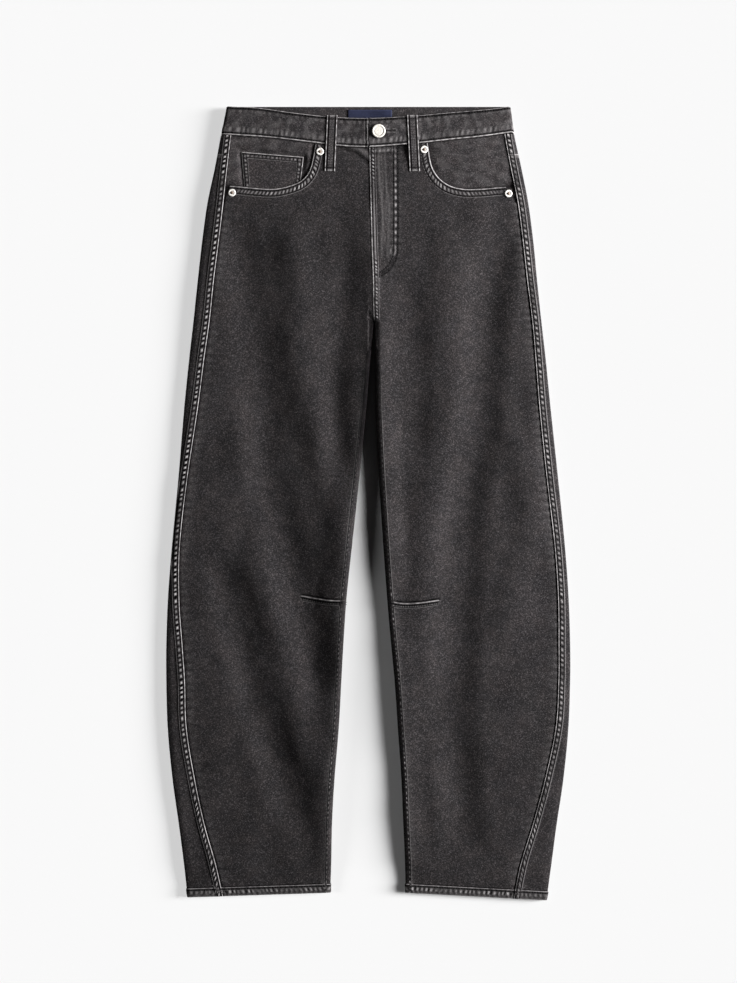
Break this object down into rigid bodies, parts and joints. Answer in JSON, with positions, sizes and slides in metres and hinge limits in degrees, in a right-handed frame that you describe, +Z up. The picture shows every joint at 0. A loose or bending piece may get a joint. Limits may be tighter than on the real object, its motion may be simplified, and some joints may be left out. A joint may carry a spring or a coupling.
{
  "type": "barrel leg trousers",
  "caption": "Barrel leg denim trousers laid flat, front up: curved outer seams, tapered hems, fly, scooped front pockets, belt loops and a button waistband.",
  "frame": {"origin": "on the surface that the trousers lie on, at the middle of their box", "axes": "+X towards the wearer's left, +Y from the hems to the waist, +Z up from the surface, with the front of the trousers facing +Z"},
  "size_m": [0.5054, 0.9921, 0.0146],
  "materials": {
    "denim": "washed-black twill, matt, worn pale along its seams",
    "label": "navy woven cloth, plain",
    "button_metal": "pale worn metal",
    "rivet_metal": "pale worn metal"
  },
  "bodies": {
    "root": {"front_right": "denim", "front_left": "denim", "back_right": "denim", "back_left": "denim", "yoke_right": "denim", "yoke_left": "denim", "back_pocket_right": "denim", "back_pocket_left": "denim", "pocket_facing_right": "denim", "pocket_facing_left": "denim", "coin_pocket": "denim", "waistband": "denim", "loop_front_right": "denim", "loop_front_left": "denim", "loop_back_right": "denim", "loop_back_left": "denim", "loop_back_centre": "denim", "waist_label": "label", "waist_button": "button_metal", "rivet_right_top": "rivet_metal", "rivet_right_side": "rivet_metal", "rivet_left_top": "rivet_metal", "rivet_left_side": "rivet_metal"}
  },
  "joints": []
}
